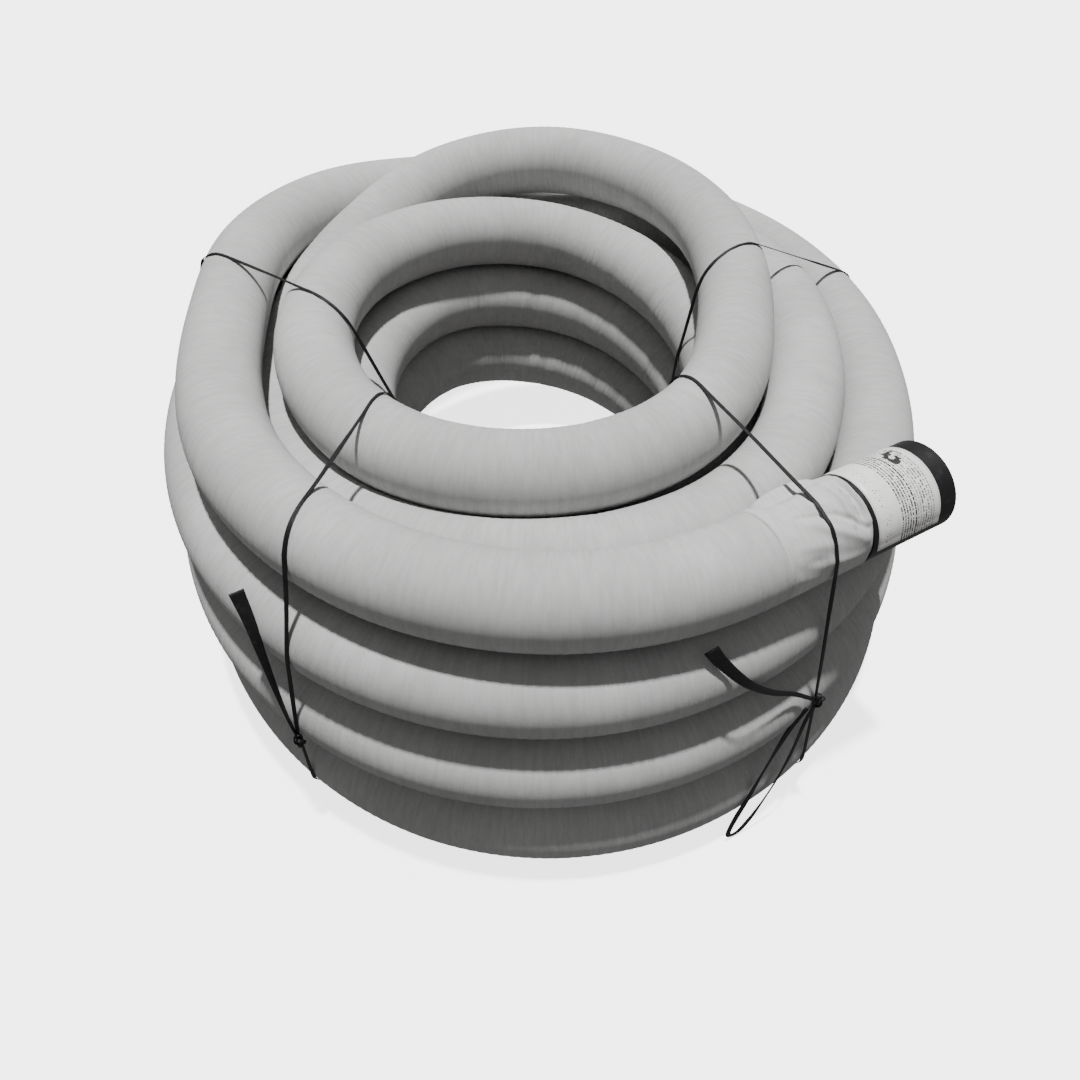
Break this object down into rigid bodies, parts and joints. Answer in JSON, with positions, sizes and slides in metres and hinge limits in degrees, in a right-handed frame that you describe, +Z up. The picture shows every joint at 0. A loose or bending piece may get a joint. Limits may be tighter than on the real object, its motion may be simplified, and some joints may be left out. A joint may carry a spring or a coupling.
{
  "type": "drain hose coil",
  "caption": "Corrugated drain hose in a light grey knitted filter sock, wound in a thick coil, tied with black flat straps, with a smooth black coupler on its free end.",
  "frame": {"origin": "on the axis of the coil, at the floor it rests on", "axes": "+Z up along the coil's axis, -Y towards the side where the free end lies, +X to the right of that side"},
  "size_m": [1.1428, 1.2967, 0.4611],
  "materials": {
    "sock": "knitted filter fabric, slightly soiled",
    "pipe": "black corrugated polyethylene",
    "coupler": "smooth black, satin",
    "label": "satin printed film",
    "strap": "black flat strap, satin"
  },
  "bodies": {
    "coil": {"drain_hose": "pipe", "filter_sock": "sock", "pipe_outer_end": "pipe", "pipe_inner_end": "pipe", "sock_outer_cuff": "sock", "sock_inner_cuff": "sock", "inner_sock_tie": "strap", "strap_front_left": "strap", "strap_front_right": "strap", "strap_back_right": "strap", "strap_back_left": "strap", "knot_front_left": "strap", "knot_front_right": "strap", "knot_back_right": "strap", "knot_back_left": "strap", "tail_front_left": "strap", "tail_front_right": "strap", "tail_back_right": "strap", "tail_back_left": "strap", "loop_front_right": "strap"},
    "coupler": {"coupler": "coupler", "product_label": "label"}
  },
  "joints": [
    {"name": "coupler_swivel", "type": "hinge", "parent": "coil", "child": "coupler", "pos_m": [0.40766, -0.3884, 0.392], "axis": [0.8755, 0.4832, 0], "continuous": true}
  ]
}
